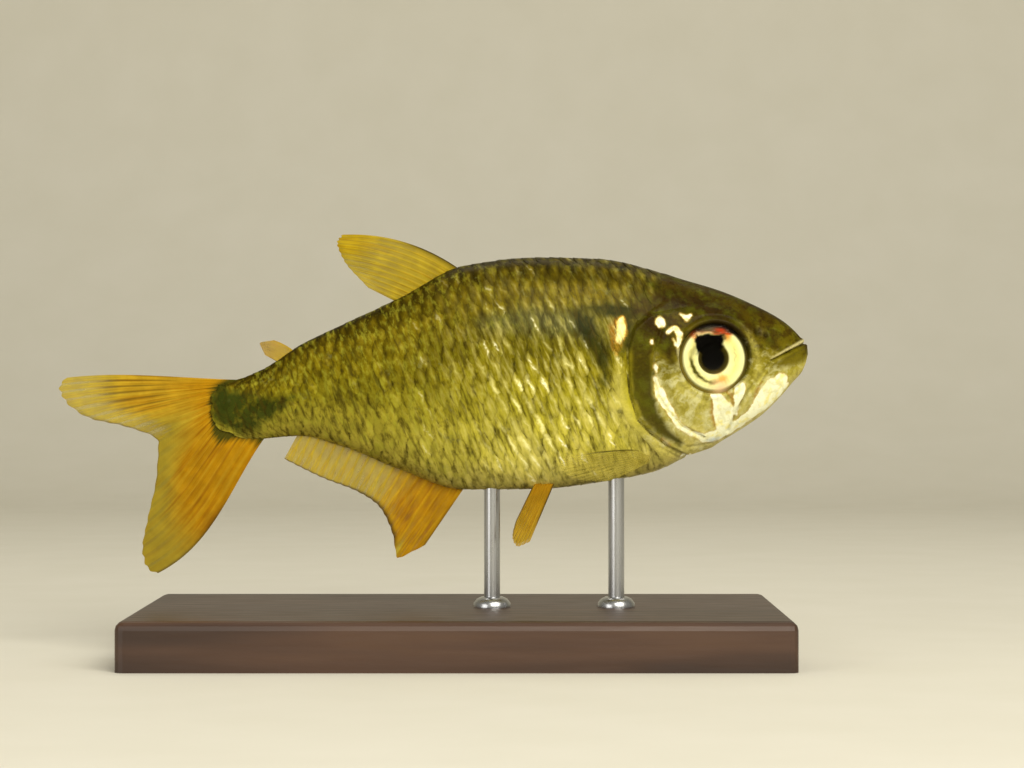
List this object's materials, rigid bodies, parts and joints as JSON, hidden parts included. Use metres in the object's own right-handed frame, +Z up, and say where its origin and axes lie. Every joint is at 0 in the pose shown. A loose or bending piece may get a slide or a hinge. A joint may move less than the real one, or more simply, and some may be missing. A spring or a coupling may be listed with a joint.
{
  "type": "characin fish display model",
  "caption": "Life-size still model of a small silvery olive characin with orange fins, held on two rods above a flat base.",
  "frame": {"origin": "centre of the underside of the stand's base, on the floor", "axes": "+X towards the fish's snout, -Y towards its right side, +Z up"},
  "size_m": [0.0698, 0.034, 0.0394],
  "materials": {
    "back_and_flank": "satin, finely scaled, olive gold",
    "head_skin": "wet satin, olive with silver patches",
    "gill_cover": "wet satin, olive silver",
    "eye": "clear gloss over a pale gold iris",
    "red_fin": "thin, orange, partly clear",
    "yellow_fin": "thin, yellow, partly clear",
    "clear_fin": "thin, nearly clear",
    "stand_base": "dark satin",
    "stand_rod": "brushed"
  },
  "bodies": {
    "root": {"trunk": "back_and_flank", "tail_stalk": "back_and_flank", "head": "head_skin", "lower_jaw": "head_skin", "gill_cover_left": "gill_cover", "gill_cover_right": "gill_cover", "eye_left": "eye", "eye_right": "eye", "dorsal_fin": "yellow_fin", "adipose_fin": "yellow_fin", "anal_fin": "red_fin", "caudal_fin_upper": "red_fin", "caudal_fin_lower": "red_fin", "pectoral_fin_left": "clear_fin", "pectoral_fin_right": "clear_fin", "pelvic_fin_left": "red_fin", "pelvic_fin_right": "red_fin", "stand_base": "stand_base", "stand_rod_front": "stand_rod", "stand_rod_back": "stand_rod"}
  },
  "joints": []
}
